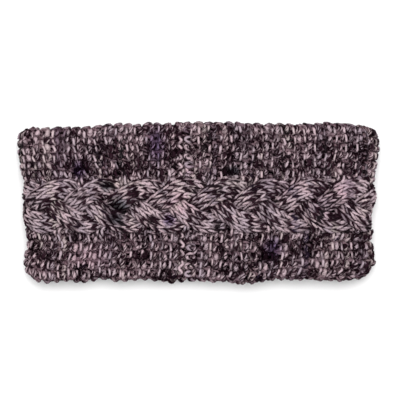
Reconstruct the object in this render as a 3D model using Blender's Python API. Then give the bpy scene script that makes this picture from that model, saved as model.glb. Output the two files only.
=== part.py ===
"""Ear warmer headband, hand knitted in one loop and lying flat.

A purl ground with wales that run along the band, and a plait of three knitted strands
that cross over and under each other in a bed along the middle.
X runs along the band, Y across it towards its upper selvedge, Z up from what it lies on.
"""

import math

import bmesh
import bpy
import numpy as np

# Driving dimensions, in metres
FLAT_LENGTH = 0.2390        # fold to fold, lying flat
BAND_WIDTH = 0.1036         # selvedge to selvedge
GROUND_WALL = 0.0044        # purl ground, to the crowns of its wales
WEB_WALL = 0.0016           # backs of the crossed stitches, under the plait
GROOVE_DEPTH = 0.0007       # between two wales of the ground
SELVEDGE_ROUND = 0.0014     # how far the selvedge's corners are rounded off
SEAM_LENGTH = 0.0100        # grafted seam, measured along the band
SEAM_RISE = 0.0008          # the seam stands this much above the ground
PLAIT_WIDTH = 0.0346        # over the humps of the outer strands
PLAIT_OFFSET = -0.0026      # from the middle of the band to the middle of the plait
STRAND_WIDTH = 0.0122       # one strand, square to its own run
STRAND_THICKNESS = 0.0030   # one strand, at its crown
STRAND_GAP = 0.0006         # clearance between strands, and from a strand to its bed
HOLLOW_MIDDLE = 0.0057      # height between the two layers, halfway along
HOLLOW_FOLD = 0.0066        # the same at the folds, which spring open
SETTLE_LENGTH = 0.0100      # the ground comes down from the plait within this width
FOLD_BLEND = 0.0060         # at the folds the ground stands as far out as the plait from this near its edge
UPPER_SETTLE = 0.0006       # how far the upper layer's ground comes down

# Counts
PLAIT_PERIODS = 6           # full waves of one strand round the loop
WALES_ABOVE = 7
WALES_BELOW = 6

# Choices along the loop
PHASE_AT_MIDDLE = 151.0     # degrees of the first strand's wave at the middle of the front
FRONT_STRETCH = 0.060       # the front's waves are longer by this share, the back's shorter
SEAM_AT = -0.065            # share of half the length, from the middle of the front

# Facets
RUN_STEPS = 12              # of the wall, along each flat run
FOLD_STEPS = 8              # of the wall, round each fold
STRAND_RUN_STEPS = 56       # of a strand, along each flat run
STRAND_FOLD_STEPS = 10      # of a strand, round each fold
STRAND_SIDES = 8

# The ends of the flat band: how far each fold reaches, as shares of half the length.
# across is a share of the band's width, from its middle towards the upper selvedge.
FOLD_REACH = {
    "across": (-0.50, -0.475, -0.42, -0.32, -0.245, -0.17, -0.067, 0.035, 0.137, 0.239, 0.341, 0.443, 0.487, 0.50),
    "left":   (0.945, 0.956, 0.967, 0.956, 0.945, 0.961, 0.961, 0.978, 0.967, 0.989, 0.994, 1.000, 0.975, 0.950),
    "right":  (0.930, 0.945, 0.972, 0.972, 0.961, 0.967, 0.967, 0.978, 0.975, 0.989, 1.000, 0.994, 0.970, 0.945),
}

# The selvedges wander: how far each one lies outwards, as shares of the band's width.
# along is a share of half the length, from the middle towards the right.
SELVEDGE_SHIFT = {
    "along": (-1.00, -0.945, -0.878, -0.746, -0.547, -0.348, -0.083, 0.017, 0.249, 0.448, 0.646, 0.845, 0.912, 1.00),
    "upper": (-0.042, -0.036, -0.030, -0.024, -0.017, -0.003, 0.006, 0.005, 0.000, 0.000, -0.005, -0.007, -0.017, -0.028),
    "lower": (-0.030, -0.016, 0.000, 0.010, -0.004, -0.006, 0.011, 0.002, 0.017, 0.000, -0.006, -0.006, -0.014, -0.032),
}

# Colours are linear RGB
YARN_GROUND = (0.095, 0.060, 0.072, 1.0)
YARN_PLAIT = (0.150, 0.095, 0.110, 1.0)
YARN_ROUGHNESS = 0.92

HALF_LENGTH = FLAT_LENGTH / 2
HALF_WIDTH = BAND_WIDTH / 2
STRAND_HALF_THICKNESS = STRAND_THICKNESS / 2
PLAIT_SWING = (PLAIT_WIDTH - STRAND_WIDTH) / 2
STRAND_LIFT = STRAND_HALF_THICKNESS + STRAND_GAP / 2
PLAIT_HALF_HEIGHT = STRAND_HALF_THICKNESS + STRAND_LIFT
PLAIT_LEVEL = WEB_WALL + STRAND_GAP + PLAIT_HALF_HEIGHT
PLAIT_TOP = PLAIT_LEVEL + PLAIT_HALF_HEIGHT
STRANDS = 3
EDGE_FULLNESS = 0.7         # power of a strand's lens-shaped section: 0.5 would be an ellipse
PUSH_MARGIN = 0.004         # a strand starts to rise or dip this far from the edge of one it crosses


def table_value(table, key, column, at):
    """A column of a table, read at any place by a smooth curve through its rows."""
    keys, values = table[key], table[column]
    at = min(max(at, keys[0]), keys[-1])
    i = min(max(int(np.searchsorted(keys, at)) - 1, 0), len(keys) - 2)
    before, after = max(i - 1, 0), min(i + 2, len(keys) - 1)
    span = keys[i + 1] - keys[i]
    share = (at - keys[i]) / span
    slope_in = (values[i + 1] - values[before]) / (keys[i + 1] - keys[before]) * span
    slope_out = (values[after] - values[i]) / (keys[after] - keys[i]) * span
    return (
        values[i] * (2 * share**3 - 3 * share**2 + 1)
        + slope_in * (share**3 - 2 * share**2 + share)
        + values[i + 1] * (3 * share**2 - 2 * share**3)
        + slope_out * (share**3 - share**2)
    )


def smooth_step(value):
    value = min(max(value, 0.0), 1.0)
    return value * value * (3 - 2 * value)


# The plait, in the plane of the cloth

RUN_LENGTH = FLAT_LENGTH - HOLLOW_FOLD - 2 * PLAIT_TOP
FOLD_LENGTH = math.pi * (HOLLOW_FOLD / 2 + PLAIT_LEVEL)
LOOP_LENGTH = 2 * (RUN_LENGTH + FOLD_LENGTH)


def wave(strand, s):
    """A strand's phase, in radians, at the distance s along the loop from the middle of the front."""
    turn = 2 * math.pi * s / LOOP_LENGTH
    stretched = turn - FRONT_STRETCH * math.sin(turn)
    return PLAIT_PERIODS * stretched + math.radians(PHASE_AT_MIDDLE) + 2 * math.pi * strand / STRANDS


def strand_middle(strand, s):
    """(Place across the plait, half width along Y) of a strand."""
    phase = wave(strand, s)
    slope = math.sin(phase) * PLAIT_SWING * 2 * math.pi * PLAIT_PERIODS / LOOP_LENGTH
    return PLAIT_SWING * math.cos(phase), STRAND_WIDTH / 2 * math.hypot(1, slope)


def lens(offset, half_width):
    """Height of a strand's section at an offset from its middle, as a share of its crown's."""
    return max(0.0, 1 - (offset / half_width) ** 2) ** EDGE_FULLNESS


def strand_level(strand, s, across):
    """How far a strand's middle surface is pushed up or down there by the strands that it crosses."""
    level = 0.0
    for other in range(STRANDS):
        if other == strand:
            continue
        middle, half_width = strand_middle(other, s)
        on_top = (other - strand) % STRANDS == 1
        pushed = STRAND_LIFT * lens(across - middle, half_width + PUSH_MARGIN)
        level += pushed if on_top else -pushed
    return level


def plait_floor(across):
    """The lowest point of any strand at this distance across the plait, above the inner face."""
    lowest = PLAIT_LEVEL
    samples = 24
    for i in range(samples):
        s = LOOP_LENGTH / PLAIT_PERIODS * i / samples
        for strand in range(STRANDS):
            middle, half_width = strand_middle(strand, s)
            if abs(across - middle) <= half_width:
                under = STRAND_HALF_THICKNESS * lens(across - middle, half_width)
                lowest = min(lowest, PLAIT_LEVEL + strand_level(strand, s, across) - under)
    return lowest


# The loop, lying flat


def raised_by_plait(y):
    """1 along the plait and 0 where the ground has come down beside it."""
    beside = abs(y - PLAIT_OFFSET) - PLAIT_WIDTH / 2 - STRAND_GAP
    return 1 - smooth_step(beside / SETTLE_LENGTH)


def under_plait(y):
    """1 under the plait and 0 beside it, where the fold's outer face is the ground's own."""
    inside = PLAIT_WIDTH / 2 - abs(y - PLAIT_OFFSET)
    return smooth_step(inside / FOLD_BLEND)


def place(s, y, n):
    """The point at s along the loop, y across the band and n outwards from the loop's inner face."""
    raised = raised_by_plait(y)
    low = GROUND_WALL + (PLAIT_TOP - GROUND_WALL) * raised
    high = PLAIT_TOP + HOLLOW_FOLD - UPPER_SETTLE * (1 - raised)
    radius, centre_z = (high - low) / 2, (high + low) / 2
    outer = GROUND_WALL + (PLAIT_TOP - GROUND_WALL) * under_plait(y)
    across = y / BAND_WIDTH
    right = HALF_LENGTH * table_value(FOLD_REACH, "across", "right", across) - radius - outer
    left = -HALF_LENGTH * table_value(FOLD_REACH, "across", "left", across) + radius + outer

    s = (s + RUN_LENGTH / 2) % LOOP_LENGTH
    if s <= RUN_LENGTH:
        share = s / RUN_LENGTH
        sag = (HOLLOW_FOLD - HOLLOW_MIDDLE) * (1 - (2 * share - 1) ** 2) ** 2
        x, z = left + (right - left) * share, high - sag + n
    elif s <= RUN_LENGTH + FOLD_LENGTH:
        angle = math.pi * (s - RUN_LENGTH) / FOLD_LENGTH
        x, z = right + (radius + n) * math.sin(angle), centre_z + (radius + n) * math.cos(angle)
    elif s <= 2 * RUN_LENGTH + FOLD_LENGTH:
        share = (s - RUN_LENGTH - FOLD_LENGTH) / RUN_LENGTH
        x, z = right + (left - right) * share, low - n
    else:
        angle = math.pi * (s - 2 * RUN_LENGTH - FOLD_LENGTH) / FOLD_LENGTH
        x, z = left - (radius + n) * math.sin(angle), centre_z - (radius + n) * math.cos(angle)
    return x, selvedge_shifted(x, y), z


def selvedge_shifted(x, y):
    """The ground is drawn out or in towards its selvedges, and the plait stays straight."""
    beside = y - PLAIT_OFFSET
    column, edge = ("upper", HALF_WIDTH) if beside > 0 else ("lower", -HALF_WIDTH)
    span = abs(edge - PLAIT_OFFSET) - PLAIT_WIDTH / 2
    share = max(0.0, abs(beside) - PLAIT_WIDTH / 2) / span
    shift = BAND_WIDTH * table_value(SELVEDGE_SHIFT, "along", column, x / HALF_LENGTH)
    return y + math.copysign(shift * share, beside)


def stations(run_steps, fold_steps, extra=()):
    """Places along the loop for the rings of a closed shell, closer together round the folds."""
    places = []
    start = -RUN_LENGTH / 2
    for length, steps in ((RUN_LENGTH, run_steps), (FOLD_LENGTH, fold_steps)) * 2:
        places += [start + length * i / steps for i in range(steps)]
        start += length
    return sorted(places + list(extra))


# The pieces


def wale_crowns(low, high, count):
    """Section of the purl ground from low to high: a groove, then the two edges of each crown."""
    pitch = (high - low) / count
    points = []
    for wale in range(count):
        start = low + pitch * wale
        points.append((start, GROUND_WALL - GROOVE_DEPTH))
        points.append((start + pitch * 0.22, GROUND_WALL))
        points.append((start + pitch * 0.78, GROUND_WALL))
    points.append((high, GROUND_WALL - GROOVE_DEPTH))
    return points


def bed_section():
    """Section of the bed under the plait: it stays clear of the lowest strand everywhere."""
    points = []
    for share in (-0.94, -0.82, -0.68, -0.50, -0.25, 0.0, 0.25, 0.50, 0.68, 0.82, 0.94):
        across = PLAIT_WIDTH / 2 * share
        nearby = (across - STRAND_GAP, across, across + STRAND_GAP)
        floor = min(plait_floor(a) for a in nearby) - STRAND_GAP
        points.append((PLAIT_OFFSET + across, min(GROUND_WALL - GROOVE_DEPTH, floor)))
    return points


def wall_section():
    """The wall's closed section: (y, n) up the outer face, round the selvedge and down the inner face."""
    below = PLAIT_OFFSET - PLAIT_WIDTH / 2
    above = PLAIT_OFFSET + PLAIT_WIDTH / 2
    outer = wale_crowns(-HALF_WIDTH, below, WALES_BELOW)[1:]
    outer += bed_section()
    outer += wale_crowns(above, HALF_WIDTH, WALES_ABOVE)[:-1]
    upper_corner = [(HALF_WIDTH, GROUND_WALL - SELVEDGE_ROUND), (HALF_WIDTH, SELVEDGE_ROUND)]
    lower_corner = [(-HALF_WIDTH, SELVEDGE_ROUND), (-HALF_WIDTH, GROUND_WALL - SELVEDGE_ROUND)]
    inner = [(HALF_WIDTH - SELVEDGE_ROUND, 0.0)]
    for share in (1.0, 0.75, 0.5, 0.25, 0.0):
        inner.append((above + STRAND_GAP + SETTLE_LENGTH * share, 0.0))
    inner.append((PLAIT_OFFSET, 0.0))
    for share in (0.0, 0.25, 0.5, 0.75, 1.0):
        inner.append((below - STRAND_GAP - SETTLE_LENGTH * share, 0.0))
    inner.append((-HALF_WIDTH + SELVEDGE_ROUND, 0.0))
    return outer + upper_corner + inner + lower_corner


def seam_rise(s, y, n):
    """The seam's ridge crosses the ground of the front, and fades out at its sides and under the plait."""
    distance = abs(s - SEAM_AT * HALF_LENGTH)
    if n < GROUND_WALL - SELVEDGE_ROUND or abs(y - PLAIT_OFFSET) <= PLAIT_WIDTH / 2:
        return 0.0
    return SEAM_RISE * (1 - smooth_step(distance / (SEAM_LENGTH / 2) - 0.5))


def band_rings():
    section = wall_section()
    seam = SEAM_AT * HALF_LENGTH
    beside_seam = [seam + SEAM_LENGTH * share for share in (-0.75, -0.25, 0.25, 0.75)]
    places = stations(RUN_STEPS, FOLD_STEPS, beside_seam)
    clear = SEAM_LENGTH / 4
    kept = [s for s in places if s in beside_seam or min(abs(s - b) for b in beside_seam) > clear]
    return [[place(s, y, n + seam_rise(s, y, n)) for y, n in section] for s in kept]


def strand_rings(strand):
    rings = []
    for s in stations(STRAND_RUN_STEPS, STRAND_FOLD_STEPS):
        middle, half_width = strand_middle(strand, s)
        ring = []
        for i in range(STRAND_SIDES):
            angle = 2 * math.pi * i / STRAND_SIDES
            across = middle + half_width * math.cos(angle)
            crown = STRAND_HALF_THICKNESS * lens(across - middle, half_width)
            side = math.copysign(crown, math.sin(angle)) if i % (STRAND_SIDES // 2) else 0.0
            n = PLAIT_LEVEL + strand_level(strand, s, across) + side
            ring.append(place(s, PLAIT_OFFSET + across, n))
        rings.append(ring)
    return rings


def closed_shell(name, rings, shift, material):
    """One solid through rings of points, the last of them joined to the first."""
    bm = bmesh.new()
    rows = [[bm.verts.new(np.add(point, shift)) for point in ring] for ring in rings]
    for row, following in zip(rows, rows[1:] + rows[:1]):
        for i, corner in enumerate(row):
            j = (i + 1) % len(row)
            bm.faces.new((corner, row[j], following[j], following[i]))
    bmesh.ops.triangulate(bm, faces=bm.faces)
    bmesh.ops.recalc_face_normals(bm, faces=bm.faces)
    mesh = bpy.data.meshes.new(name)
    bm.to_mesh(mesh)
    bm.free()
    mesh.shade_smooth()
    mesh.set_sharp_from_angle(angle=math.radians(40))
    mesh.materials.append(material)
    obj = bpy.data.objects.new(name, mesh)
    bpy.context.scene.collection.objects.link(obj)
    return obj


def yarn_material(name, colour):
    material = bpy.data.materials.new(name)
    material.use_nodes = True
    shader = material.node_tree.nodes["Principled BSDF"]
    shader.inputs["Base Color"].default_value = colour
    shader.inputs["Roughness"].default_value = YARN_ROUGHNESS
    shader.inputs["Metallic"].default_value = 0.0
    return material


def middle_of_foot(shapes):
    """The shift that puts the middle of the whole thing's underside at the origin."""
    points = np.array([point for rings in shapes for ring in rings for point in ring])
    low, high = points.min(axis=0), points.max(axis=0)
    return np.array([-(low[0] + high[0]) / 2, -(low[1] + high[1]) / 2, -low[2]])


def build():
    for obj in list(bpy.data.objects):
        bpy.data.objects.remove(obj, do_unlink=True)
    ground = yarn_material("yarn_ground", YARN_GROUND)
    plait = yarn_material("yarn_plait", YARN_PLAIT)
    shapes = {"band": (band_rings(), ground)}
    for strand in range(STRANDS):
        shapes[f"cable_strand_{strand + 1}"] = (strand_rings(strand), plait)
    shift = middle_of_foot([rings for rings, _ in shapes.values()])
    for name, (rings, material) in shapes.items():
        closed_shell(name, rings, shift, material)


build()
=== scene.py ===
# %% [markdown]
# # A hand-knitted ear warmer, stitch by stitch
# The band is one long yarn. Each row of knitting runs across the band, turns at the selvedge and
# comes back, so the whole fabric can be drawn as paths that a yarn follows. This lesson works out
# those paths with numpy, lays them on the flattened loop, and lets one Geometry Nodes tree turn every
# path into twisted two-ply yarn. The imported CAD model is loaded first: it says where everything lies.

# %% Load the frame
import math

import bpy
import numpy as np
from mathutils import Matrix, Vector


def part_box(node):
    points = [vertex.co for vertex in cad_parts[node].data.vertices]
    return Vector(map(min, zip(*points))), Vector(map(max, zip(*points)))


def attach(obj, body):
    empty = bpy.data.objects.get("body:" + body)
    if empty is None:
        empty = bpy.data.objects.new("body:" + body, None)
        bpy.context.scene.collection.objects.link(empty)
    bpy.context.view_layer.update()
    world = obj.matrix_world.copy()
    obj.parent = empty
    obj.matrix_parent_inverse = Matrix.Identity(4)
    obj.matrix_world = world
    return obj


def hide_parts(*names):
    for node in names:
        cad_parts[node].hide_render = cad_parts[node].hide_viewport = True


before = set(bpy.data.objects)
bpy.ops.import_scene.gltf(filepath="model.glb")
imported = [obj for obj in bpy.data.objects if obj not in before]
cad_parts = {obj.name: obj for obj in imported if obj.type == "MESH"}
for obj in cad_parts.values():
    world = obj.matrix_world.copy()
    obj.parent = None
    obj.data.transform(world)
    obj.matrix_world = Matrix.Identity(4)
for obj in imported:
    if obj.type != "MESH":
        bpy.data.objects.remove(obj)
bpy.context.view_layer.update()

# %% [markdown]
# ## Sizes
# The yarn has to lie where the solids lie, so the sizes of the band and of its plait are the ones
# that the CAD model uses. Lengths are metres. What only the yarn needs, such as its thickness and the
# height of a loop, comes from counting stitches in the photograph: 22 stitches across, 144 rows round.

# %% Sizes of the band
FLAT_LENGTH, BAND_WIDTH, GROUND_WALL = 0.2390, 0.1036, 0.0044
WEB_WALL, STRAND_GAP = 0.0016, 0.0006
PLAIT_WIDTH, PLAIT_OFFSET, STRAND_WIDTH, STRAND_THICKNESS = 0.0346, -0.0026, 0.0122, 0.0030
HOLLOW_MIDDLE, HOLLOW_FOLD = 0.0057, 0.0066
SETTLE_LENGTH, UPPER_SETTLE, FOLD_BLEND = 0.0100, 0.0006, 0.0060
PLAIT_PERIODS, PHASE_AT_MIDDLE, FRONT_STRETCH = 6, math.radians(151), 0.060
PUSH_MARGIN, EDGE_FULLNESS = 0.004, 0.7

HALF_LENGTH, HALF_WIDTH = FLAT_LENGTH / 2, BAND_WIDTH / 2
SEAM_AT, SEAM_LENGTH = -0.065 * HALF_LENGTH, 0.0100
PLAIT_SWING = (PLAIT_WIDTH - STRAND_WIDTH) / 2
STRAND_LIFT = STRAND_THICKNESS / 2 + STRAND_GAP / 2
PLAIT_HALF_HEIGHT = STRAND_THICKNESS / 2 + STRAND_LIFT
PLAIT_LEVEL = WEB_WALL + STRAND_GAP + PLAIT_HALF_HEIGHT
PLAIT_TOP = PLAIT_LEVEL + PLAIT_HALF_HEIGHT
RUN_LENGTH = FLAT_LENGTH - HOLLOW_FOLD - 2 * PLAIT_TOP
FOLD_LENGTH = math.pi * (HOLLOW_FOLD / 2 + PLAIT_LEVEL)
LOOP_LENGTH = 2 * (RUN_LENGTH + FOLD_LENGTH)

ROWS = 144
ROW_PITCH = LOOP_LENGTH / ROWS
print(f"the loop is {LOOP_LENGTH * 1000:.0f} mm round, and a row is {ROW_PITCH * 1000:.2f} mm")

# %% [markdown]
# ## The flattened loop
# Knitting is easiest to describe unrolled: `s` runs along the loop from the middle of the front, `y`
# across the band, and `n` outwards from the inner face. One function then lays such points on the real
# thing, two flat layers joined by a round fold at each end. Two short tables hold what makes it look
# handled: how far each fold reaches, and how the selvedges wander.

# %% Tables of the outline, as shares of half the length and of the width
FOLD_REACH = {
    "across": (-0.50, -0.475, -0.42, -0.32, -0.245, -0.17, -0.067,
               0.035, 0.137, 0.239, 0.341, 0.443, 0.487, 0.50),
    "left": (0.945, 0.956, 0.967, 0.956, 0.945, 0.961, 0.961,
             0.978, 0.967, 0.989, 0.994, 1.000, 0.975, 0.950),
    "right": (0.930, 0.945, 0.972, 0.972, 0.961, 0.967, 0.967,
              0.978, 0.975, 0.989, 1.000, 0.994, 0.970, 0.945),
}
SELVEDGE_SHIFT = {
    "along": (-1.00, -0.945, -0.878, -0.746, -0.547, -0.348, -0.083,
              0.017, 0.249, 0.448, 0.646, 0.845, 0.912, 1.00),
    "upper": (-0.042, -0.036, -0.030, -0.024, -0.017, -0.003, 0.006,
              0.005, 0.000, 0.000, -0.005, -0.007, -0.017, -0.028),
    "lower": (-0.030, -0.016, 0.000, 0.010, -0.004, -0.006, 0.011,
              0.002, 0.017, 0.000, -0.006, -0.006, -0.014, -0.032),
}

print("places on each fold:", len(FOLD_REACH["across"]))


# %% Read a table, and climb from 0 to 1
def table_value(table, key, column, at):
    """A column of a table, read at many places by a smooth curve through its rows."""
    keys, values = np.array(table[key]), np.array(table[column])
    at = np.clip(at, keys[0], keys[-1])
    slopes = np.gradient(values, keys)
    i = np.clip(np.searchsorted(keys, at) - 1, 0, len(keys) - 2)
    span = keys[i + 1] - keys[i]
    share = (at - keys[i]) / span
    return (
        values[i] * (2 * share**3 - 3 * share**2 + 1)
        + slopes[i] * span * (share**3 - 2 * share**2 + share)
        + values[i + 1] * (3 * share**2 - 2 * share**3)
        + slopes[i + 1] * span * (share**3 - share**2)
    )


def smooth_step(value):
    """0 up to 0, 1 from 1 on, and an S-shaped climb between."""
    value = np.clip(value, 0, 1)
    return value * value * (3 - 2 * value)


# %% Lay points on the loop
def place(s, y, n, fold_y=None):
    """Points (s, y, n) of the unrolled fabric, laid on the loop. Where fold_y is given, they follow the folds
    at that place across the band."""
    fold_y = y if fold_y is None else fold_y
    beside = np.abs(y - PLAIT_OFFSET) - PLAIT_WIDTH / 2
    raised = 1 - smooth_step((beside - STRAND_GAP) / SETTLE_LENGTH)
    low = GROUND_WALL + (PLAIT_TOP - GROUND_WALL) * raised
    high = PLAIT_TOP + HOLLOW_FOLD - UPPER_SETTLE * (1 - raised)
    radius, centre_z = (high - low) / 2, (high + low) / 2
    beneath = smooth_step((PLAIT_WIDTH / 2 - np.abs(fold_y - PLAIT_OFFSET)) / FOLD_BLEND)
    outer = GROUND_WALL + (PLAIT_TOP - GROUND_WALL) * beneath
    across = fold_y / BAND_WIDTH
    right = HALF_LENGTH * table_value(FOLD_REACH, "across", "right", across) - radius - outer
    left = -HALF_LENGTH * table_value(FOLD_REACH, "across", "left", across) + radius + outer

    s = (s + RUN_LENGTH / 2) % LOOP_LENGTH
    front = s <= RUN_LENGTH
    right_fold = (s > RUN_LENGTH) & (s <= RUN_LENGTH + FOLD_LENGTH)
    back = (s > RUN_LENGTH + FOLD_LENGTH) & (s <= 2 * RUN_LENGTH + FOLD_LENGTH)
    share = np.where(front, s, s - RUN_LENGTH - FOLD_LENGTH) / RUN_LENGTH
    sag = (HOLLOW_FOLD - HOLLOW_MIDDLE) * (1 - (2 * share - 1) ** 2) ** 2
    turned = np.where(right_fold, s - RUN_LENGTH, s - 2 * RUN_LENGTH - FOLD_LENGTH) * math.pi / FOLD_LENGTH
    out = radius + n
    x = np.select(
        [front, right_fold, back],
        [left + (right - left) * share, right + out * np.sin(turned), right + (left - right) * share],
        left - out * np.sin(turned),
    )
    z = np.select(
        [front, right_fold, back],
        [high - sag + n, centre_z + out * np.cos(turned), low - n],
        centre_z - out * np.cos(turned),
    )
    return np.stack([x, selvedge_shifted(x, y), z], axis=-1) + TO_FRAME


def selvedge_shifted(x, y):
    """The ground is drawn out or in towards its selvedges, and the plait stays straight."""
    beside = y - PLAIT_OFFSET
    above = beside > 0
    span = np.abs(np.where(above, HALF_WIDTH, -HALF_WIDTH) - PLAIT_OFFSET) - PLAIT_WIDTH / 2
    share = np.maximum(0, np.abs(beside) - PLAIT_WIDTH / 2) / span
    upper = table_value(SELVEDGE_SHIFT, "along", "upper", x / HALF_LENGTH)
    lower = table_value(SELVEDGE_SHIFT, "along", "lower", x / HALF_LENGTH)
    return y + np.where(above, upper, -lower) * BAND_WIDTH * share


def frame_shift():
    """The CAD model was moved to put the middle of its underside at the origin. This finds that move."""
    s, y = np.meshgrid(np.linspace(0, LOOP_LENGTH, 400), np.linspace(-HALF_WIDTH, HALF_WIDTH, 90))
    points = place(s, y, np.full_like(s, GROUND_WALL))
    low, high = points.min(axis=(0, 1)), points.max(axis=(0, 1))
    cad_low, cad_high = (np.array(corner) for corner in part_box("band"))
    return np.array([*((cad_low + cad_high - low - high) / 2)[:2], 0.0])


TO_FRAME = np.zeros(3)
TO_FRAME = frame_shift()
print("shift to the frame in mm:", (TO_FRAME * 1000).round(2))

# %% [markdown]
# ## The plait
# A nine-stitch plait is three strands of three stitches. Each strand swings from side to side in a
# cosine wave, a third of a wave behind the next, and it always passes over one neighbour and under the
# other. That makes its height simple: a strand rises where the one it crosses over is beneath it, and
# dips where it goes under.

# %% Where a strand runs, and how high
STRANDS = 3
print(f"a wave of the plait is {LOOP_LENGTH / PLAIT_PERIODS * 1000:.0f} mm long")


def wave(strand, s):
    """Phase of a strand's swing. Its waves are a little longer on the front than on the back."""
    turn = 2 * math.pi * s / LOOP_LENGTH
    stretched = turn - FRONT_STRETCH * np.sin(turn)
    return PLAIT_PERIODS * stretched + PHASE_AT_MIDDLE + 2 * math.pi * strand / STRANDS


def wave_rate(s):
    """How fast that phase turns along the loop."""
    turn = 2 * math.pi * s / LOOP_LENGTH
    return PLAIT_PERIODS * (1 - FRONT_STRETCH * np.cos(turn)) * 2 * math.pi / LOOP_LENGTH


def strand_middle(strand, s):
    """A strand's middle, and half its breadth, both measured straight across the band."""
    phase = wave(strand, s)
    slope = np.sin(phase) * PLAIT_SWING * wave_rate(s)
    return PLAIT_SWING * np.cos(phase), STRAND_WIDTH / 2 * np.hypot(1, slope)


def lens(offset, half_width):
    """A strand's section: 1 in its middle and 0 at its edges."""
    return np.maximum(0, 1 - (offset / half_width) ** 2) ** EDGE_FULLNESS


def strand_level(strand, s, across):
    """How far a strand rises over one neighbour or dips under the other."""
    level = np.zeros_like(s)
    for other in range(STRANDS):
        if other != strand:
            middle, half_width = strand_middle(other, s)
            side = 1 if (other - strand) % STRANDS == 1 else -1
            level += side * STRAND_LIFT * lens(across - middle, half_width + PUSH_MARGIN)
    return level


def on_strand(strand, s, u, n):
    """Points at s along a strand, u square to its run and n above its middle surface."""
    slope = -PLAIT_SWING * np.sin(wave(strand, s)) * wave_rate(s)
    length = np.hypot(1, slope)
    at = s - u * slope / length
    across = PLAIT_SWING * np.cos(wave(strand, s)) + u / length
    return at, PLAIT_OFFSET + across, PLAIT_LEVEL + strand_level(strand, at, across) + n


# %% [markdown]
# ## Yarn from a path
# Every yarn in the piece is the same thing: two plies twisted together. The tree below takes a path,
# turns it into a curve and sweeps a section with two lobes along it. The section turns with the length
# of the path, which is what twisting does. Two thin tubes wound round each other would do too, but need
# twice the faces. The tree also keeps facts on the surface for the material: which ply a point is on
# (`ply`), which side of it (`flank`), how far along the yarn (`along`), and how squarely it looks out of
# the fabric (`facing`), which the material uses to paint shade on the yarn's flanks.

# %% Build the yarn tree
YARN = {"Thickness": 0.0027, "Twist length": 0.0100, "Twist drift": 0.9, "Ply groove": 0.20, "Sides": 8}
DRIFT_SCALE = 16.0    # the twist is uneven over stretches of about 60 mm
print("yarn tree inputs:", ", ".join(YARN))


def feed(links, sockets, values):
    """Give each socket a link from another one, or a plain value."""
    for socket, value in zip(sockets, values):
        if isinstance(value, bpy.types.NodeSocket):
            links.new(value, socket)
        else:
            socket.default_value = value


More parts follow.
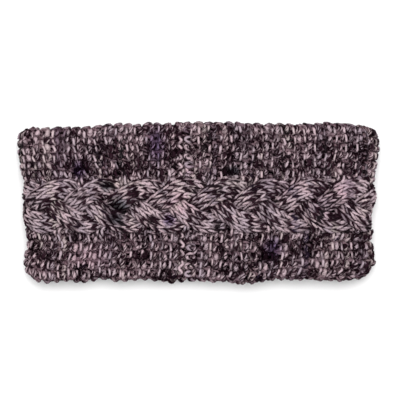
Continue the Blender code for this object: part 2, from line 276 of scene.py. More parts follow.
def yarn_tree(material):
    """The tree that sweeps a twisted yarn along every path of a mesh of edges."""
    tree = bpy.data.node_groups.new("Twisted yarn along a path", "GeometryNodeTree")
    sockets = tree.interface
    sockets.new_socket("Geometry", in_out="INPUT", socket_type="NodeSocketGeometry")
    for name, value in YARN.items():
        kind = "NodeSocketInt" if name == "Sides" else "NodeSocketFloat"
        sockets.new_socket(name, in_out="INPUT", socket_type=kind).default_value = value
    sockets.new_socket("Geometry", in_out="OUTPUT", socket_type="NodeSocketGeometry")
    nodes, links = tree.nodes, tree.links

    def node(kind, **settings):
        made = nodes.new(kind)
        for key, value in settings.items():
            setattr(made, key, value)
        return made

    def maths(operation, *values):
        made = node("ShaderNodeMath", operation=operation)
        feed(links, made.inputs, values)
        return made.outputs[0]

    def attribute(name, kind="FLOAT"):
        made = node("GeometryNodeInputNamedAttribute", data_type=kind)
        made.inputs["Name"].default_value = name
        return made.outputs["Attribute"]

    def stored(geometry, name, value):
        made = node("GeometryNodeStoreNamedAttribute", data_type="FLOAT", domain="POINT")
        links.new(geometry, made.inputs["Geometry"])
        made.inputs["Name"].default_value = name
        links.new(value, made.inputs["Value"])
        return made.outputs[0]

    given = node("NodeGroupInput").outputs

    # The section: a circle pinched in on two sides, so that it reads as two plies
    circle = node("GeometryNodeCurvePrimitiveCircle", mode="RADIUS")
    links.new(given["Sides"], circle.inputs["Resolution"])
    circle.inputs["Radius"].default_value = 1.0
    around = maths("MULTIPLY", node("GeometryNodeSplineParameter").outputs["Factor"], 2 * math.pi)
    pinch = maths("MULTIPLY", maths("SUBTRACT", 1.0, maths("COSINE", maths("MULTIPLY", around, 2.0))), 0.5)
    size = maths("SUBTRACT", 1.0, maths("MULTIPLY", pinch, given["Ply groove"]))
    scaled = node("ShaderNodeVectorMath", operation="SCALE")
    links.new(node("GeometryNodeInputPosition").outputs[0], scaled.inputs[0])
    links.new(size, scaled.inputs["Scale"])
    pinched = node("GeometryNodeSetPosition")
    links.new(circle.outputs["Curve"], pinched.inputs["Geometry"])
    links.new(scaled.outputs[0], pinched.inputs["Position"])
    section = pinched.outputs[0]
    for name, value in (("ply", maths("COSINE", around)), ("flank", maths("SINE", around))):
        section = stored(section, name, value)

    # The path: its section turns once in every twist length, a little unevenly
    curve = node("GeometryNodeMeshToCurve")
    links.new(given["Geometry"], curve.inputs[0])
    upright = node("GeometryNodeSetCurveNormal", mode="FREE")
    links.new(curve.outputs[0], upright.inputs["Curve"])
    links.new(attribute("outwards", "FLOAT_VECTOR"), upright.inputs["Normal"])
    turned = node("GeometryNodeSetCurveTilt")
    links.new(upright.outputs[0], turned.inputs["Curve"])
    turns = maths("DIVIDE", attribute("along"), given["Twist length"])
    uneven = node("ShaderNodeTexNoise", noise_dimensions="1D")
    uneven.inputs["Scale"].default_value = DRIFT_SCALE
    uneven.inputs["Detail"].default_value = 0.0
    links.new(attribute("along"), uneven.inputs["W"])
    drift = maths("MULTIPLY", uneven.outputs[0], given["Twist drift"])
    turns = maths("ADD", turns, drift)
    links.new(maths("MULTIPLY", turns, 2 * math.pi), turned.inputs["Tilt"])
    sweep = node("GeometryNodeCurveToMesh")
    links.new(turned.outputs[0], sweep.inputs["Curve"])
    links.new(section, sweep.inputs["Profile Curve"])
    half = maths("MULTIPLY", given["Thickness"], 0.5)
    links.new(maths("MULTIPLY", attribute("fullness"), half), sweep.inputs["Scale"])
    sweep.inputs["Fill Caps"].default_value = True

    # How squarely the surface looks outwards, for the shade painted on the yarn's flanks, then the finish
    towards = node("ShaderNodeVectorMath", operation="DOT_PRODUCT")
    links.new(node("GeometryNodeInputNormal").outputs[0], towards.inputs[0])
    links.new(attribute("outwards", "FLOAT_VECTOR"), towards.inputs[1])
    smooth = node("GeometryNodeSetShadeSmooth")
    links.new(stored(sweep.outputs[0], "facing", towards.outputs["Value"]), smooth.inputs["Geometry"])
    real = node("GeometryNodeRealizeInstances")
    links.new(smooth.outputs[0], real.inputs[0])
    finish = node("GeometryNodeSetMaterial")
    links.new(real.outputs[0], finish.inputs["Geometry"])
    finish.inputs["Material"].default_value = material
    links.new(finish.outputs[0], node("NodeGroupOutput").inputs[0])
    return tree


# %% [markdown]
# ## The marled yarn
# Marled yarn is two plies of different colours. Here one is a dusty pink that drifts to beige and
# mauve, and the other is a charcoal that drifts to plum and ink violet. The drift happens along the
# yarn, because it was dyed before it was knitted, so the colour reads the yarn's own length and not a
# place in space. The twist breaks both colours into slanting flecks, which are short and fine on the
# loose rows and longer on the tight rows and the plait. A few pools of dye lie over several stitches at
# once. They are stored on the paths, because they have to stay where the photograph shows them.

# %% Yarn colours, linear RGB
PALE_DYES = {
    "mauve": (0.185, 0.128, 0.162),
    "lilac grey": (0.370, 0.294, 0.338),
    "grey pink": (0.445, 0.348, 0.384),
    "dusty pink": (0.500, 0.374, 0.408),
    "beige": (0.470, 0.390, 0.388),
}
DARK_DYES = {
    "ink violet": (0.020, 0.013, 0.028),
    "plum black": (0.0105, 0.004, 0.0065),
    "plum": (0.026, 0.011, 0.017),
    "dark plum": (0.014, 0.0058, 0.009),
    "charcoal": (0.016, 0.013, 0.015),
}
print(len(PALE_DYES), "pale dyes and", len(DARK_DYES), "dark ones")

# %% Pools, where one dye shows over several stitches
# A tint, how much the pale ply gains (it loses where this is negative), then places on the front as
# (along, across, half length, half width) in mm
DYE_POOLS = {
    "violet": (
        (0.46, 0.40, 0.62), 0.0,
        ((-77.5, 21, 5, 7), (-27, 37, 6, 13), (49, -31, 7, 8), (-20, -12, 5, 4)),
    ),
    "ash": (
        (0.26, 0.31, 0.32), -0.2,
        ((-54, -3, 8, 6), (22, 20, 6, 4), (-57, -11, 8, 5), (-62, 10, 5, 4)),
    ),
    "rose": (
        (1.06, 0.98, 1.01), 0.45,
        ((-13, -2, 10, 9), (98, 8, 8, 8), (-74, -36, 15, 9), (-6, 20, 3, 4)),
    ),
    "sand": (
        (0.99, 1.02, 0.95), 0.3,
        ((26, -28, 3, 4), (-52, 12, 12, 4), (26, 12, 12, 5)),
    ),
    "pale": (
        (1.00, 1.00, 1.00), 0.3,
        ((-98, 30, 16, 16), (-6, -44, 14, 8), (-48, 44, 26, 8), (84, 44, 12, 8), (72, -42, 24, 8)),
    ),
    "plum": (
        (0.88, 0.84, 0.88), -0.5,
        ((85, -2, 12, 15), (-58, -9, 9, 7), (60, 8, 10, 7), (-79, 26, 12, 9), (-48, 20, 8, 6)),
    ),
}
POOL_CORE, POOL_FADE = 0.3, 1.1    # full strength up to the first, gone after both, in half lengths


def dye_pool(name, s, y):
    """How much of a pool's dye a point of the front has, from 0 to 1."""
    weight = np.zeros_like(s)
    for x, across, half_length, half_width in DYE_POOLS[name][2]:
        far = np.hypot((s * 1000 - x) / half_length, (y * 1000 - across) / half_width)
        weight = np.maximum(weight, 1 - smooth_step((far - POOL_CORE) / POOL_FADE))
    return weight


# %% Build the marled surface and its painted light and shade, a group that both yarn materials use
RAMP_START, RAMP_SPAN = 0.27, 0.42    # most of a noise's values lie between these


def ramp(nodes, colours, fac, links):
    """Several colours, each fading into the next."""
    made = nodes.new("ShaderNodeValToRGB")
    elements = made.color_ramp.elements
    for i, colour in enumerate(colours.values()):
        at = RAMP_START + RAMP_SPAN * i / (len(colours) - 1)
        stop = elements[i] if i < 2 else elements.new(at)
        stop.position, stop.color = at, (*colour, 1.0)
    links.new(fac, made.inputs["Fac"])
    return made.outputs["Color"]


MARL_SIZES = {
    "Dye length": 0.22, "Fleck length": 0.013, "Fine fleck length": 0.0022, "Flecks round": 1.5,
    "Fleck softness": 0.45, "Ply contrast": 0.9, "Dark share": 0.53, "Fine dark share": 0.545,
}
# How strongly each cause moves the edge between the dyes. A pair is for coarse rows and for fine ones.
EDGE_WEIGHTS = {"flecks": 5.0, "stray fibres": 1.4, "stretches": (2.4, 3.6), "clusters": 1.8}
FINE_PLY_CONTRAST = 0.3
STRETCH_LENGTHS, CLUSTER_SIZE = (0.045, 0.024), 0.014
STRAY_FIBRE, FIBRE_STREAK = 0.002, 0.0016
NOISE_LINES = {"pale": 3.7, "dark": 11.3, "stretch": 23.9}    # far apart, so that the three don't agree
# Painted light and shade, multiplied into the yarn's colour: fibre streaks painted as highlights and shade, a
# painted brightness (mean) for coarse and for fine rows, and shade painted on the flanks and on yarn that
# lies deep.
SHADE = {
    "streaks": 2.2, "mean": (1.06, 0.90), "least": 0.35,
    "facing": 0.72, "edge on": 0.36, "least facing": 0.2, "painted_shade": 0.66,
}
PLUM_GLOW = (0.09, 0.0, 0.035)    # painted shade is tinted plum, as light that gets through the fibres keeps the shade plum


def marl_group():
    """Colour and height of the yarn's surface, from the facts that the yarn tree keeps on it. Highlights and
    shade are painted into the colour.
    """
    group = bpy.data.node_groups.new("Marled two-ply surface with painted light and shade", "ShaderNodeTree")
    for name, value in MARL_SIZES.items():
        group.interface.new_socket(name, in_out="INPUT", socket_type="NodeSocketFloat").default_value = value
    group.interface.new_socket("Colour", in_out="OUTPUT", socket_type="NodeSocketColor")
    group.interface.new_socket("Height", in_out="OUTPUT", socket_type="NodeSocketFloat")
    nodes, links = group.nodes, group.links
    given, result = nodes.new("NodeGroupInput").outputs, nodes.new("NodeGroupOutput").inputs

    def maths(operation, *values, clamp=False):
        made = nodes.new("ShaderNodeMath")
        made.operation, made.use_clamp = operation, clamp
        feed(links, made.inputs, values)
        return made.outputs[0]

    def fact(name):
        made = nodes.new("ShaderNodeAttribute")
        made.attribute_name = name
        return made.outputs["Fac"]

    def noise(at, detail, roughness=0.5):
        made = nodes.new("ShaderNodeTexNoise")
        made.noise_dimensions = "3D"
        made.inputs["Scale"].default_value = 1.0
        made.inputs["Detail"].default_value = detail
        made.inputs["Roughness"].default_value = roughness
        links.new(at, made.inputs["Vector"])
        return made.outputs["Fac"]

    def vector(*values):
        made = nodes.new("ShaderNodeCombineXYZ")
        feed(links, made.inputs, values)
        return made.outputs[0]

    def mix(fac, first, second, blend="MIX"):
        made = nodes.new("ShaderNodeMix")
        made.data_type, made.blend_type = "RGBA", blend
        feed(links, (made.inputs[0], made.inputs[6], made.inputs[7]), (fac, first, second))
        return made.outputs[2]

    def around_yarn(turns, length):
        turned = maths("MULTIPLY", ply, turns), maths("MULTIPLY", flank, turns)
        return vector(*turned, maths("DIVIDE", along, length))

    def blend(fac, first, second):
        return maths("ADD", first, maths("MULTIPLY", fac, maths("SUBTRACT", second, first)))

    def moved(edge, by, weight):
        return maths("ADD", edge, maths("MULTIPLY", maths("SUBTRACT", by, 0.5), weight))

    ply, flank, along, fine = fact("ply"), fact("flank"), fact("along"), fact("fine")
    dyed = maths("DIVIDE", along, given["Dye length"])
    pale = ramp(nodes, PALE_DYES, noise(vector(dyed, NOISE_LINES["pale"], 0.0), 2.0), links)
    dark = ramp(nodes, DARK_DYES, noise(vector(dyed, NOISE_LINES["dark"], 0.0), 2.0), links)

    # Where the pale dye ends: in flecks that follow the twist, with a ragged edge of stray fibres
    fleck = noise(around_yarn(
        maths("MULTIPLY", given["Flecks round"], fine),
        blend(fine, given["Fleck length"], given["Fine fleck length"])), 2.0)
    share = blend(fine, given["Dark share"], given["Fine dark share"])
    stray = noise(around_yarn(4.0, STRAY_FIBRE), detail=3.0, roughness=0.7)
    edge = maths("MULTIPLY", maths("SUBTRACT", fleck, share), EDGE_WEIGHTS["flecks"])
    edge = maths("ADD", edge, maths("MULTIPLY", ply, blend(fine, given["Ply contrast"], FINE_PLY_CONTRAST)))
    edge = moved(edge, stray, EDGE_WEIGHTS["stray fibres"])

    # One dye wins over a stretch of the yarn, in a cluster of stitches, and in the pools
    stretched = maths("DIVIDE", along, blend(fine, *STRETCH_LENGTHS))
    stretch = noise(vector(stretched, NOISE_LINES["stretch"], 0.0), 2.0)
    edge = moved(edge, stretch, blend(fine, *EDGE_WEIGHTS["stretches"]))
    scaled = nodes.new("ShaderNodeVectorMath")
    scaled.operation = "SCALE"
    links.new(nodes.new("ShaderNodeTexCoord").outputs["Object"], scaled.inputs[0])
    scaled.inputs["Scale"].default_value = 1 / CLUSTER_SIZE
    edge = moved(edge, noise(scaled.outputs[0], 2.0), EDGE_WEIGHTS["clusters"])
    for name, (_, gain, _) in DYE_POOLS.items():
        edge = maths("ADD", edge, maths("MULTIPLY", fact(name), gain))
    softness = maths("MULTIPLY", given["Fleck softness"], 2.0)
    edge = maths("ADD", maths("DIVIDE", edge, softness), 0.5, clamp=True)
    marl = mix(edge, dark, pale)
    for name, (tint, _, _) in DYE_POOLS.items():
        marl = mix(fact(name), marl, mix(1.0, marl, (*tint, 1.0), "MULTIPLY"))

    # Painted highlights and shade: fibre streaks are painted lighter and darker, as single fibres catch
    # the light. Shade is painted on the yarn's sides and on its parts deep in the fabric.
    streak = noise(around_yarn(7.0, FIBRE_STREAK), detail=4.0, roughness=0.75)
    mean = blend(fine, *SHADE["mean"])
    shade = maths("MULTIPLY_ADD", maths("SUBTRACT", streak, 0.5), SHADE["streaks"], mean)
    shade = maths("MAXIMUM", shade, SHADE["least"])
    side = maths("MULTIPLY_ADD", fact("facing"), SHADE["facing"], SHADE["edge on"])
    side = maths("MAXIMUM", maths("MINIMUM", side, 1.0), SHADE["least facing"])
    shade = maths("MULTIPLY", shade, side)
    shade = maths("MULTIPLY", shade, maths("MULTIPLY_ADD", fact("painted_shade"), -SHADE["painted_shade"], 1.0))
    plum_shade = nodes.new("ShaderNodeCombineColor")
    for socket, glow in zip(plum_shade.inputs, PLUM_GLOW):
        links.new(maths("MULTIPLY_ADD", shade, 1 - glow, glow), socket)
    links.new(mix(1.0, marl, plum_shade.outputs[0], "MULTIPLY"), result["Colour"])
    links.new(streak, result["Height"])
    return group


MARL = marl_group()
print("nodes in the marled surface:", len(MARL.nodes))


# %% The two yarn materials
def yarn_material(name, **sizes):
    """Matt yarn. Sizes given here replace those of the same name in MARL_SIZES."""
    material = bpy.data.materials.new(name)
    material.use_nodes = True
    nodes, links = material.node_tree.nodes, material.node_tree.links
    shader = nodes["Principled BSDF"]
    marl = nodes.new("ShaderNodeGroup")
    marl.node_tree = MARL
    for key, value in sizes.items():
        marl.inputs[key.replace("_", " ").capitalize()].default_value = value
    links.new(marl.outputs["Colour"], shader.inputs["Base Color"])
    bump = nodes.new("ShaderNodeBump")
    bump.inputs["Strength"].default_value = 0.6
    bump.inputs["Distance"].default_value = 0.0004
    links.new(marl.outputs["Height"], bump.inputs["Height"])
    links.new(bump.outputs["Normal"], shader.inputs["Normal"])
    shader.inputs["Roughness"].default_value = 0.92
    shader.inputs["Specular IOR Level"].default_value = 0.01
    return material


YARN_FINISH = {
    "ground_yarn": yarn_material(
        "Marled yarn, purl ground",
        fleck_length=0.0110, fleck_softness=0.32, ply_contrast=0.4, dark_share=0.495, fine_dark_share=0.535,
    ),
    "plait_yarn": yarn_material("Marled yarn, plait", fleck_softness=0.60, dark_share=0.525),
}
YARN_TREES = {slot: yarn_tree(material) for slot, material in YARN_FINISH.items()}
print("materials:", ", ".join(m.name for m in YARN_FINISH.values()))

# %% [markdown]
# ## Rows by hand
# No hand knits every stitch alike. Purl rows come out looser than knit rows, so the rows pair up, and
# each stitch sits a little high or low. These small errors are drawn once, from a fixed seed, and every
# piece reads them by row and by stitch, so that two pieces agree where they meet. Without them the
# fabric looks machine-made, however good its yarn is.

# %% The hand's small errors
hand = np.random.default_rng(7)
STITCHES = 24
WOBBLE = {name: hand.normal(0, 1, (ROWS + 2, STITCHES)) for name in ("s", "y", "n", "tall", "full", "lean")}
PAIRING = -0.06     # a loose row lies nearer the tight row before it, by this share of a row's pitch
ROW_YARN = 0.400    # yarn in one row, for the place of its colours
SEAM_FADE = 0.8     # share of the seam's length over which its roughness fades
print("stitches with errors of their own:", ROWS * STITCHES)


def looseness(row):
    """1 for a loose row, -1 for a tight one."""
    return 1.0 if row % 2 == 0 else -1.0


def row_place(row, pairing=PAIRING):
    """Where a row lies along the loop, from the middle of the front."""
    return (row - ROWS / 2 + 0.5 + pairing * looseness(row)) * ROW_PITCH


def at_seam(s):
    """1 in the middle of the grafted seam, fading to 0 at its sides."""
    return 1 - smooth_step(np.abs(s - SEAM_AT) / (SEAM_LENGTH * SEAM_FADE))


def wobble(name, row, stitch):
    """A stitch's own error, in standard deviations and never past two."""
    return np.clip(WOBBLE[name][row % ROWS, stitch], -2, 2)


# %% [markdown]
# ## A piece of knitting
# A path is a list of points in (s, y, n), with three facts for each point and the length at which its
# yarn starts. The facts are how full the yarn is (`fullness`), how much shade is painted into its colour
# where it lies deep in the fabric, and whether it belongs to a loose row with fine flecks (`fine`).
# The helper below lays the paths on the
# loop, measures them, makes one mesh of edges and runs the yarn tree over it. The result becomes a plain
# mesh at once, because the export needs plain meshes.

# %% Turn paths into a piece
LIFT = 1e-5             # a step outwards, to find which way outwards is
FLAT_LEVEL = 0.00005    # yarn that would lie under the table is pressed up to here
PATH_FACTS = ("fullness", "painted_shade", "fine")


def path_frame(path):
    """(points on the loop, outward directions, length along) of a path (s, y, n) or (s, y, n, fold_y)."""
    s, y, n, *fold_y = path
    points = place(s, y, n, *fold_y)
    outwards = place(s, y, n + LIFT, *fold_y) - points
    outwards /= np.linalg.norm(outwards, axis=1, keepdims=True)
    steps = np.linalg.norm(np.diff(points, axis=0), axis=1)
    return points, outwards, np.concatenate([[0], np.cumsum(steps)])


def flatten_on_table(piece):
    """The lowest yarns press flat where the band rests."""
    mesh = piece.data
    points = np.empty(len(mesh.vertices) * 3)
    mesh.vertices.foreach_get("co", points)
    points[2::3] = np.maximum(points[2::3], FLAT_LEVEL)
    mesh.vertices.foreach_set("co", points)
    mesh.update()


def knit_piece(name, slot, paths, sizes, nodes=()):
    """One piece of yarn. Each path is ((s, y, n), its facts, where its yarn starts)."""
    facts = {key: [] for key in ("outwards", "along", *PATH_FACTS, *DYE_POOLS)}
    verts, edges, start = [], [], 0
    for path, path_facts, yarn_start in paths:
        points, outwards, along = path_frame(path)
        verts.append(points)
        count = len(points)
        first = np.arange(start, start + count - 1)
        edges.append(np.stack([first, first + 1], axis=1))
        start += count
        facts["outwards"].append(outwards)
        facts["along"].append(along + yarn_start)
        for key, values in zip(PATH_FACTS, path_facts):
            facts[key].append(np.broadcast_to(values, count))
        for dye in DYE_POOLS:
            facts[dye].append(dye_pool(dye, path[0], path[1]))
    mesh = bpy.data.meshes.new(name)
    mesh.from_pydata(np.concatenate(verts), np.concatenate(edges), [])
    for key, values in facts.items():
        flat = np.concatenate(values).astype(np.float32).ravel()
        kind, field = ("FLOAT_VECTOR", "vector") if key == "outwards" else ("FLOAT", "value")
        mesh.attributes.new(key, kind, "POINT").data.foreach_set(field, flat)
    guide = bpy.data.objects.new(name + " paths", mesh)
    bpy.context.scene.collection.objects.link(guide)
    modifier = guide.modifiers.new("Yarn", "NODES")
    modifier.node_group = YARN_TREES[slot]
    for item in modifier.node_group.interface.items_tree:
        if item.name in YARN and item.name.lower() in sizes:
            modifier[item.identifier] = sizes[item.name.lower()]
    graph = bpy.context.evaluated_depsgraph_get()
    piece = bpy.data.objects.new(name, bpy.data.meshes.new_from_object(guide.evaluated_get(graph)))
    bpy.context.scene.collection.objects.link(piece)
    bpy.data.objects.remove(guide)
    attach(piece, "root")
    if nodes:
        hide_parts(*nodes)
    flatten_on_table(piece)
    triangles = sum(len(p.vertices) - 2 for p in piece.data.polygons)
    print(f"{name}: {len(paths)} paths, {triangles} triangles")


# %% [markdown]
# ## The purl ground
# One stitch is a loop like the Greek letter omega: up, over and down again. Written with sines it is
# `across = t + a sin 2t` and `along = -h cos t`. The knitter turned this side's purl face out, so what
# shows is each loop's head as a bump, and its legs lie deep. A plain sine would make the bumps round as
# beads. These are squared off with a tanh, so a bump is a short flat bar, as in the photograph.
#
# Two rows make one path: out from the plait to the selvedge, round a turn, and back. Loose and tight
# rows take turns, and are shifted a little against each other, so that their bumps interleave.

# %% Sizes of the ground
GROUND = {
    "thickness": 0.00255,
    "twist length": 0.0078,
    "loop height": 0.0026,
    "squareness": 2.6,
    "tight lean": 0.100,
    "loose lean": 0.040,
    "lean beside the plait": 0.05,
    "tight breadth": 0.120,
    "loose breadth": 0.080,
    "slant": 0.03,
    "leg fullness": 0.30,
    "leg level": 0.0011,
    "bar level": 0.0034,
    "bar half": 0.45,
    "bar half beside the plait": 0.4,
    "bar end": 1.15,
    "loose height": 0.04,
    "loose rise": -0.0004,
    "loose fullness": 0.46,
    "tight fullness": -0.26,
    "interleave": 0.00042,
    "notch": 0.0052,
    "first wale": 0.0005,
    "foot": 0.9,
    "bed rise": 0.0002,
    "bed depth": 0.6,
    "turn": 0.0012,
    "turn dip": 0.0010,
    "turn depth": 0.3,
}
GROUND_ERRORS = {"s": 0.00040, "y": 0.00050, "n": 0.0003, "tall": 0.10, "full": 0.10, "lean": 0.14}
SEAM_ERRORS = 1.6    # how much larger the errors are at the seam
SIDES = {
    "upper": {
        "sign": 1, "wales": 7, "pitch": 0.00572, "reach": HALF_WIDTH - PLAIT_OFFSET - 0.0019,
        "first": 15, "yarn": 0.5,
    },
    "lower": {
        "sign": -1, "wales": 6, "pitch": 0.00590, "reach": HALF_WIDTH + PLAIT_OFFSET - 0.0014,
        "first": 0, "yarn": 0.0,
    },
}
print("wales of ground:", {side: about["wales"] for side, about in SIDES.items()})

# %% Sizes of the graft
GRAFT = {
    "place": SEAM_AT - 0.0020,
    "half width": 0.003,
    "fade": 0.003,
    "clearance": 0.0014,
    "level": 0.0042,
    "strand": -0.0022,
    "strand rise": 0.0004,
    "strand ends": (0.3, 0.1),
    "strand fullness": 0.92,
    "strand yarn": 0.31,
    "zigzag": 0.0012,
    "loops": 0.0040,
    "loop length": 0.0027,
    "loop breadth": 0.0014,
    "loop turn": 2.5,
    "loop dip": 0.0022,
    "loop error": 0.0004,
    "fullness error": 200,
    "end depth": 0.8,
    "yarn step": 0.093,
}
print(f"the graft lies {-GRAFT['place'] * 1000:.1f} mm left of the front's middle")


def under_graft(s):
    """1 where the graft lies over the rows, fading to 0 at its sides."""
    return 1 - smooth_step((np.abs(s - GRAFT["place"]) - GRAFT["half width"]) / GRAFT["fade"])


# %% Where the wales lie
WANDER = ((0.067, 0.9, 0.00038), (0.029, 2.1, 0.00042))    # wave length, turn from wale to wale, swing
DRAG = {
    "starts": -0.130, "within": 0.012, "ends": -0.018, "fades over": 0.030, "wales": 7,
    "slant": 0.62, "breadth": 0.6,
}


def plait_edge(side, s):
    """Distance from the plait's middle to its scalloped edge."""
    sign = SIDES[side]["sign"]
    return PLAIT_WIDTH / 2 - GROUND["notch"] * (1 - sign * np.cos(3 * wave(0, s))) / 2


def wale_line(side, s, place_in_row):
    """Distance from the plait's middle to a place counted in wales. Only the first wale follows the plait."""
    about = SIDES[side]
    first = about["reach"] - about["pitch"] * (about["wales"] - 1)
    edge = np.minimum(plait_edge(side, s), first - GROUND["first wale"])
    inside = edge + (first - edge) * place_in_row
    return np.where(place_in_row < 1, inside, first + about["pitch"] * (place_in_row - 1))


def wander(s, place_in_row):
    """The wales wander a little on their way along the band."""
    shift = 0
    for length, turn, swing in WANDER:
        shift = shift + swing * np.sin(2 * math.pi * s / length + turn * place_in_row)
    return shift * np.clip(place_in_row, 0, 1)


def dragged(side, s, wale):
    """How far the plait drags the stitches askew, from 0 to 1: on the left of the upper ground."""
    if side == "lower":
        return np.zeros_like(s)
    begun = smooth_step((s - DRAG["starts"]) / DRAG["within"])
    lasting = smooth_step((DRAG["ends"] - s) / DRAG["fades over"])
    return begun * lasting * np.clip(1 - wale / DRAG["wales"], 0, 1)


# %% One row of the ground
def ground_row(side, row, points):
    """One row of the ground, from the plait out to the selvedge, as (s, y, n, fullness, depth, fine)."""
    about = SIDES[side]
    wales, sign = about["wales"], about["sign"]
    count = wales * points + 1
    t = 2 * math.pi * np.arange(count) / points
    wale = np.minimum(np.arange(count) // points, wales - 1)
    rough = 1 + SEAM_ERRORS * at_seam(row_place(row))
    stitch = about["first"] + wale
    errors = {name: size * (rough * wobble(name, row, stitch)) for name, size in GROUND_ERRORS.items()}
    loose = looseness(row)
    kind = "loose" if loose > 0 else "tight"
    head = (1 - np.cos(t)) / 2
    beside_plait = np.where(wale == 0, 1.0, 0.0)

    # The loop seen from above: squared along the band, and leaning over its foot across it
    tall = GROUND["loop height"] * (1 + errors["tall"] + GROUND["loose height"] * loose)
    square = np.tanh(GROUND["squareness"] * np.cos(t)) / math.tanh(GROUND["squareness"])
    s = row_place(row) - tall * square + errors["s"] * head
    askew = dragged(side, s, wale)
    broad = GROUND[kind + " breadth"] * (1 + DRAG["breadth"] * askew) * np.sin(t) * head
    lean = GROUND[kind + " lean"] + GROUND["lean beside the plait"] * beside_plait
    place_in_row = t / (2 * math.pi) + lean * np.sin(2 * t) - broad
    y = wale_line(side, s, place_in_row) + wander(s, place_in_row) + errors["y"]
    y = y + GROUND["interleave"] * loose * np.clip(place_in_row, 0, 1)
    slant = GROUND["slant"] + DRAG["slant"] * askew + errors["lean"]
    s = s - slant * (place_in_row - wale - 0.5) * about["pitch"] * head**2

    # Its height: a bar on top, and legs that lie deep
    from_head = np.abs(t % (2 * math.pi) - math.pi)
    flat = from_head - GROUND["bar half"] - GROUND["bar half beside the plait"] * beside_plait
    bar = 1 - smooth_step(flat / GROUND["bar end"])
    n = GROUND["leg level"] + (GROUND["bar level"] - GROUND["leg level"]) * bar + errors["n"]
    n += bar * (GROUND["loose rise"] * loose - GRAFT["clearance"] * under_graft(s))
    full = 1 + head * (errors["full"] + GROUND[kind + " fullness"])
    full += GROUND["leg fullness"] * np.sin(t) ** 2
    fine = np.full(count, 1.0 if loose > 0 else 0.0)
    # Shade is painted on the yarn where it falls below its bar: none on the bar, most on the legs.
    return s, PLAIT_OFFSET + sign * y, n, full, 1 - bar, fine


# %% The row's two ends, and the path of two rows
def under_plait(side, row, points=7):
    """From the middle of the bed out to the first stitch, without that stitch's first point."""
    sign = SIDES[side]["sign"]
    share = np.arange(points) / points
    s_end = row_place(row) - GROUND["foot"] * GROUND["loop height"]
    s = row_place(row) + (s_end - row_place(row)) * share**2
    y = plait_edge(side, s_end) * share
    n = GROUND["leg level"] + GROUND["bed rise"] * (1 - share)
    # Shade is painted on the yarn under the plait, growing from the middle of the bed out to the first
    # stitch.
    return s, PLAIT_OFFSET + sign * y, n, np.full(points, 1.0), share * GROUND["bed depth"], np.zeros(points)


def turn_at_selvedge(end, start, sign, points=6):
    """The yarn goes round the selvedge from the end of one row to the start of the next."""
    share = np.arange(1, points) / points
    s = end[0] + (start[0] - end[0]) * (1 - np.cos(math.pi * share)) / 2
    y = end[1] + (start[1] - end[1]) * share + sign * GROUND["turn"] * np.sin(math.pi * share)
    n = end[2] + (start[2] - end[2]) * share - GROUND["turn dip"] * np.sin(math.pi * share)
    # A set amount of shade is painted along the turn at the selvedge.
    return s, y, n, np.full(points - 1, 1.0), np.full(points - 1, GROUND["turn depth"]), share


def ground_path(side, row, points):
    """Two rows of one side, out and back."""
    sign = SIDES[side]["sign"]
    parts = []
    for this in (row, row + 1):
        bed, stitches = under_plait(side, this), ground_row(side, this, points)
        parts.append([np.concatenate(pair) for pair in zip(bed, stitches)])
    out, back = parts[0], [values[::-1] for values in parts[1]]
    turn = turn_at_selvedge([v[-1] for v in out], [v[0] for v in back], sign)
    s, y, n, *facts = (np.concatenate(values) for values in zip(out, turn, back))
    start = row * ROW_YARN + SIDES[side]["yarn"] * ROW_YARN
    return (s, y, n), facts, start


# %% [markdown]
# ## Long stitches in the notches
# At the plait end the yarn of the ground dives under the strands. Where the plait turns inwards it pulls
# on the ground, and two stitches in each notch are drawn out long. They are single short paths, because
# a stretched row would drag all the stitches behind it.

# %% Stitches that the plait draws out
NOTCH = {
    "searched": 0.45,
    "steps": (-0.0016, 0.0012),
    "error": 0.0006,
    "start error": 0.4,
    "start": 0.0105,
    "end": 0.0212,
    "slant": 0.0012,
    "fullness": 0.90,
    "profile": ((0, 0.3, 0.75, 1), (0.0024, 0.0070, 0.0058, 0.0012)),
    "end depth": 0.8,
    "yarn step": 0.07,
    "yarn shift": 9,
}


def notch_paths(side, front):
    """Two long stitches in each notch of one side, on the front or on the back."""
    sign = SIDES[side]["sign"]
    reach = NOTCH["searched"]
    s = np.linspace(-reach, reach, 2000) * RUN_LENGTH + (0 if front else LOOP_LENGTH / 2)
    turn = sign * np.cos(3 * wave(0, s))
    deepest = s[1:-1][(turn[1:-1] < turn[:-2]) & (turn[1:-1] < turn[2:])]
    share = np.linspace(0, 1, 12)
    level = np.interp(share, *NOTCH["profile"])
    # Shade is painted on the ends of each long stitch, where it dives under.
    facts = (NOTCH["fullness"], NOTCH["end depth"] * (2 * share - 1) ** 8, 0.0)
    paths = []
    for number, middle in enumerate(deepest):
        for step in NOTCH["steps"]:
            error = WOBBLE["s"][number, 3 + (step > 0)] * NOTCH["error"]
            start, end = NOTCH["start"] + NOTCH["start error"] * abs(error), NOTCH["end"] + error
            at = middle + step + error + NOTCH["slant"] * sign * share
            y = PLAIT_OFFSET + sign * (start + (end - start) * share)
            paths.append(((at, y, level), facts, number * NOTCH["yarn step"] + step * NOTCH["yarn shift"]))
    return paths


# %% [markdown]
# ## The graft
# The band was knitted as a strip, and its two ends were joined with a needle. That row is made of other
# loops than the knitted ones: a strand that runs across in a zigzag, and one lying loop in each wale.
# They are laid over the rows, which sink a little to make room.

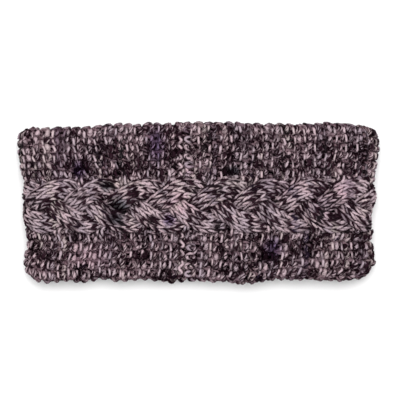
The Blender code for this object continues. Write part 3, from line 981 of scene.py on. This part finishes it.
# %% The strand and the loops of the graft
def graft_paths(side):
    """The strand that zigzags across one side, and a lying loop in each wale."""
    about = SIDES[side]
    near, far = GRAFT["strand ends"]
    share = np.linspace(near, about["wales"] - far, about["wales"] * 10)
    s = GRAFT["place"] + GRAFT["strand"] + GRAFT["zigzag"] * np.sin(2 * math.pi * share)
    level = GRAFT["level"] + GRAFT["strand rise"] * np.cos(2 * math.pi * share)
    facts = (GRAFT["strand fullness"], 0.0, 0.0)
    paths = [((s, wale_line(side, s, share), level), facts, GRAFT["strand yarn"])]

    t = np.linspace(-GRAFT["loop turn"], GRAFT["loop turn"], 15)
    level = GRAFT["level"] - GRAFT["loop dip"] * smooth_step((np.abs(t) - 1.5) / 0.9)
    # Shade is painted on the ends of each lying loop, where they dip under the rows.
    painted_loop_end_shade = GRAFT["end depth"] * smooth_step((np.abs(t) - 1.7) / 0.8)
    for wale in range(about["wales"]):
        error = WOBBLE["s"][wale, 5:9] * GRAFT["loop error"]
        s = GRAFT["place"] + GRAFT["loops"] - GRAFT["loop length"] * np.cos(t) + error[0]
        middle = wale_line(side, s, wale + 0.5) + error[1]
        y = middle + (GRAFT["loop breadth"] + error[2] / 2) * np.sin(t)
        facts = (1.0 + error[3] * GRAFT["fullness error"], painted_loop_end_shade, 0.5)
        paths.append(((s, y, level), facts, wale * GRAFT["yarn step"]))
    return [((s, PLAIT_OFFSET + about["sign"] * y, n), facts, start) for (s, y, n), facts, start in paths]


# %% Knit the ground
FRONT_ROWS = range(ROWS // 4, ROWS // 4 * 3)
STITCH_POINTS = {True: 18, False: 13}    # points in a stitch, on the front and on the back


def ground_piece(name, side, front, nodes=()):
    """The ground on one side of the plait, round the front half of the loop or the back half."""
    first_row = 0 if side == "upper" else 1
    rows = [r for r in range(first_row, ROWS, 2) if (r in FRONT_ROWS) == front]
    paths = [ground_path(side, r, STITCH_POINTS[front]) for r in rows] + notch_paths(side, front)
    if front:
        paths += graft_paths(side)
    knit_piece(name, "ground_yarn", paths, GROUND, nodes)


ground_piece("purl_ground_above_the_plait_front", "upper", True, ["band"])
ground_piece("purl_ground_above_the_plait_back", "upper", False)
ground_piece("purl_ground_below_the_plait_front", "lower", True)
ground_piece("purl_ground_below_the_plait_back", "lower", False)

# %% [markdown]
# ## The plaited strands
# A strand is three wales of knit stitches. Here the same loop is seen from its other side, with its legs
# on top, and they make the knit stitch's V. So the sine curve is used as it is, with the height's sign
# changed. The rows follow the strand, square to its run, so the Vs lean with it. The legs are crowned:
# the outer ones wrap down round the strand's sides.

# %% Sizes of the plait's stitches
PLAIT = {
    "thickness": 0.00230,
    "twist length": 0.0115,
    "loop height": 0.0036,
    "belly": 0.22,
    "swing": 0.0009,
    "level": -0.0003,
    "crown": 0.0012,
    "spread": 1.22,
    "inset": 0.30,
    "pairing": 0.04,
    "shade from": 0.8,
    "shade over": 0.2,
    "end shade": 0.7,
    "side shade": 0.8,
    "dip shade": 0.5,
    "dip from": 0.1,
    "yarn": 0.3,
    "yarn step": 0.13,
}
PLAIT_ERRORS = {"s": 0.00015, "n": 0.00012, "tall": 0.05, "full": 0.05}
STRAND_WALES, FIRST_PLAIT_STITCH = 3, 6


# %% One row of a strand
def strand_row(strand, row, points):
    """Three knit stitches across a strand, with the place on the fold that they follow."""
    wale = np.append(np.repeat(np.arange(STRAND_WALES), points), STRAND_WALES - 1)
    t = np.append(np.tile(2 * math.pi * np.arange(points) / points, STRAND_WALES), 2 * math.pi)
    share, once, twice = t / (2 * math.pi), np.cos(t), np.cos(2 * t)
    number = FIRST_PLAIT_STITCH + strand * STRAND_WALES + wale
    errors = {name: size * wobble(name, row, number) for name, size in PLAIT_ERRORS.items()}
    head = (1 - once) / 2
    s = row_place(row, PLAIT["pairing"]) - PLAIT["loop height"] * once * (1 + errors["tall"]) + errors["s"]
    half = STRAND_WIDTH / 2 * PLAIT["spread"] - PLAIT["thickness"] * PLAIT["inset"]
    u = half * (2 * (wale + share + PLAIT["belly"] * np.sin(2 * t)) / STRAND_WALES - 1)
    crown = PLAIT["crown"] * (1 - (u / half) ** 2)
    above = crown + PLAIT["level"] - PLAIT["swing"] * twice + errors["n"] * head
    s, y, n = on_strand(strand, s, u, above)

    # Painted shade: the ends of the loops, the strand's sides, and where it dips under another are painted
    # darker
    dip = smooth_step(-PLAIT["dip from"] - (n - above - PLAIT_LEVEL) / STRAND_LIFT)
    ends = smooth_step((np.abs(once) - PLAIT["shade from"]) / PLAIT["shade over"])
    sides = smooth_step((np.abs(u / half) - PLAIT["shade from"]) / PLAIT["shade over"])
    deep = np.minimum(PLAIT["end shade"] * ends + PLAIT["side shade"] * sides + PLAIT["dip shade"] * dip, 1)
    full = 1 + errors["full"] * head
    if row % 2:
        s, y, n, full, deep = (values[::-1] for values in (s, y, n, full, deep))
    inside = PLAIT_WIDTH / 2 - FOLD_BLEND
    fold_y = np.clip(y, PLAIT_OFFSET - inside, PLAIT_OFFSET + inside)
    start = row * ROW_YARN + (PLAIT["yarn"] + PLAIT["yarn step"] * strand) * ROW_YARN
    return (s, y, n, fold_y), (full, deep, 0.0), start


# %% Knit the strands
def strand_piece(strand):
    """One strand of the plait, all the way round, in place of its solid."""
    paths = [strand_row(strand, row, STITCH_POINTS[row in FRONT_ROWS]) for row in range(ROWS)]
    knit_piece(f"plait_strand_{strand + 1}", "plait_yarn", paths, PLAIT, [f"cable_strand_{strand + 1}"])


for strand in range(STRANDS):
    strand_piece(strand)

# %% [markdown]
# ## Table, light and camera
# The photograph was taken from straight above, on white, in soft light from behind, which leaves a thin
# shadow under the lower edge. One large lamp and a white world give that light. A small lamp would draw
# hard shadows between the stitches.

# %% Floor
bpy.ops.mesh.primitive_plane_add(size=3, location=(0, 0, 0))
floor = bpy.context.object
floor.name = "white_table"
white = bpy.data.materials.new("Table white")
white.use_nodes = True
surface = white.node_tree.nodes["Principled BSDF"].inputs
surface["Base Color"].default_value = (0.9, 0.9, 0.9, 1)
surface["Roughness"].default_value = 0.8
floor.data.materials.append(white)

# %% Lights
def area_light(name, place_at, size, power):
    """A round soft lamp that shines on the origin."""
    data = bpy.data.lights.new(name, "AREA")
    data.shape, data.size, data.energy = "DISK", size, power
    light = bpy.data.objects.new(name, data)
    light.location = place_at
    light.rotation_euler = light.location.to_track_quat("Z", "Y").to_euler()
    bpy.context.scene.collection.objects.link(light)
    print(f"{name}: {power} W")


area_light("Softbox", (0.0, 0.40, 1.3), 1.0, 15)
bpy.context.scene.view_settings.view_transform = "Standard"
world = bpy.context.scene.world or bpy.data.worlds.new("Studio")
bpy.context.scene.world = world
world.use_nodes = True
background = world.node_tree.nodes["Background"].inputs
background["Color"].default_value = (1, 1, 1, 1)
background["Strength"].default_value = 0.86

# %% Camera, straight above
PHOTO_WIDTH = 400 * 0.0006565    # pixels, and metres in one
CAMERA_HEIGHT, BAND_TOP = 1.2, 0.02
VIEW_CENTRE = (0.0013, 0.0016)
camera = bpy.data.objects.new("Camera", bpy.data.cameras.new("Camera"))
camera.data.sensor_width = 36
camera.data.lens = 36 * CAMERA_HEIGHT / PHOTO_WIDTH
camera.location = (*VIEW_CENTRE, CAMERA_HEIGHT + BAND_TOP)
bpy.context.scene.collection.objects.link(camera)
bpy.context.scene.camera = camera
print(f"the camera's lens is {camera.data.lens:.0f} mm")
